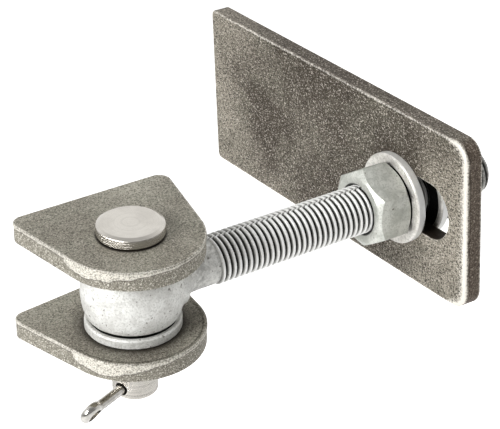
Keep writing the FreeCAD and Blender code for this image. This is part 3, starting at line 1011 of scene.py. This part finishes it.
def splitPin(look):
    mesh = frame["nodes"]["split_pin"].data.copy()
    leg = eyeFrame.to_3x3() @ Vector((math.cos(splitTurn), math.sin(splitTurn), 0))
    there = Matrix.Translation(eyeFrame @ Vector((0, 0, look["height"] * mm)))
    shift = Matrix.Translation((look["lift"] * pinAxis - look["pushIn"] * leg) * mm)
    roll = Matrix.Rotation(math.radians(look["extraRoll"]), 4, leg)
    mesh.transform(shift @ there @ roll @ there.inverted())
    return mesh


addPiece("splitPin", splitPin(splitForm), Matrix.Identity(4), "pin", "split_pin",
         splitSteel)


# Studio: white surroundings, a broad key light from the left, weaker ones from the right, above and behind

studio = {
    "floorDrop": 0.25, "floorSize": 4.0, "floorTone": 0.82, "floorFade": 0.02, "floorMottle": 60.0,
    "floorGlow": 1.0, "floorBounce": 0.72, "floorMirrored": 0.35,
    "ambient": 0.02, "backdrop": (-0.84, 0.54, 0.0), "dimmest": 0.25, "dimSpan": (-0.7, 0.8),
    "mirroredLights": ("keyLight",),
}
lights = {
    "keyLight": {"heading": -82, "lift": 24, "distance": 0.9, "size": 0.55, "power": 9.2},
    "sideLight": {"heading": 5, "lift": 30, "distance": 0.9, "size": 0.5, "power": 2.0},
    "topLight": {"heading": 0, "lift": 90, "distance": 0.8, "size": 0.6, "power": 1.0},
    "backLight": {"heading": 100, "lift": 40, "distance": 0.9, "size": 0.6, "power": 2.5},
}
white = (1, 1, 1, 1)


def seenLevel(finish, bounced, seen, mirrored):
    # One level for camera and transmitted rays, one for mirror rays and one for diffuse ones
    camera, glossy, through = [finish.node("ShaderNodeLightPath", output=word) for word in
                               ("Is Camera Ray", "Is Glossy Ray", "Is Transmission Ray")]
    direct = finish.step(camera + through, 0.0, 1.0)
    return bounced + (seen - bounced) * direct + (mirrored - bounced) * glossy


def whiteWorld(look):
    world = bpy.data.worlds.new("studioWorld")
    scene.world = world
    finish = Finish(world)
    behind = finish.along(finish.node("ShaderNodeTexCoord", output="Generated"), look["backdrop"])
    mirrored = look["dimmest"] + (1 - look["dimmest"]) * finish.step(behind, *look["dimSpan"])
    strength = seenLevel(finish, look["ambient"], 1.0, mirrored)
    glow = finish.node("ShaderNodeBackground", sockets={"Color": white, "Strength": strength})
    finish.node("ShaderNodeOutputWorld", sockets={"Surface": glow})


def paleFloor(look):
    finish = Finish(bpy.data.materials.new("floorCard"))
    tone, dimmer = look["floorTone"], look["floorTone"] - look["floorFade"]
    shade = finish.noise(finish.place(), look["floorMottle"], detail=2, rough=0.5, seed=1.0)
    colour = finish.mix((tone, tone, tone), (dimmer, dimmer, dimmer), shade)
    diffuse = finish.node("ShaderNodeBsdfDiffuse", sockets={"Color": colour})
    strength = seenLevel(finish, look["floorBounce"], look["floorGlow"], look["floorMirrored"])
    glow = finish.node("ShaderNodeEmission", sockets={"Color": white, "Strength": strength})
    both = finish.node("ShaderNodeAddShader", sockets={0: diffuse, 1: glow})
    finish.node("ShaderNodeOutputMaterial", sockets={"Surface": both})
    half = look["floorSize"] / 2
    corners = [(-half, -half, 0), (half, -half, 0), (half, half, 0), (-half, half, 0)]
    mesh = bpy.data.meshes.new("floor")
    mesh.from_pydata(corners, [], [(0, 1, 2, 3)])
    mesh.materials.append(finish.owner)
    floor = bpy.data.objects.new("floor", mesh)
    scene.collection.objects.link(floor)
    floor.location = (pivot.x, pivot.y, cadBounds[0].z - look["floorDrop"])


def addLight(name, look):
    heading, lift = math.radians(look["heading"]), math.radians(look["lift"])
    way = Vector((math.cos(heading) * math.cos(lift), math.sin(heading) * math.cos(lift), math.sin(lift)))
    light = bpy.data.lights.new(name, "AREA")
    light.shape = "DISK"
    light.size = look["size"]
    light.energy = look["power"]
    lamp = bpy.data.objects.new(name, light)
    scene.collection.objects.link(lamp)
    lamp.location = (cadBounds[0] + cadBounds[1]) / 2 + look["distance"] * way
    lamp.rotation_euler = way.to_track_quat("Z", "Y").to_euler()
    lamp.visible_camera = False
    lamp.visible_glossy = name in studio["mirroredLights"]


whiteWorld(studio)
paleFloor(studio)
for lightName, lightLook in lights.items():
    addLight(lightName, lightLook)
print("studio set")


# Camera, solved from the photograph's outlines

cameraView = {
    "place": (0.689536, -0.467346, 0.384534), "heading": 57.557, "dip": 27.255, "roll": -2.242,
    "lens": 151.035, "sensor": 36.0, "farthest": 10.0,
}


def photoCamera(look):
    heading, dip, roll = [math.radians(look[word]) for word in ("heading", "dip", "roll")]
    forward = Vector((-math.sin(heading) * math.cos(dip), math.cos(heading) * math.cos(dip), -math.sin(dip)))
    right = forward.cross(Vector((0, 0, 1))).normalized()
    up = right.cross(forward)
    leaned = math.cos(roll) * right + math.sin(roll) * up
    camera = bpy.data.cameras.new("photoCamera")
    camera.lens = look["lens"]
    camera.sensor_width = look["sensor"]
    camera.clip_end = look["farthest"]
    holder = bpy.data.objects.new("photoCamera", camera)
    scene.collection.objects.link(holder)
    holder.matrix_world = localFrame(Vector(look["place"]), leaned, -forward)
    scene.camera = holder


photoCamera(cameraView)
scene.view_settings.view_transform = "Standard"
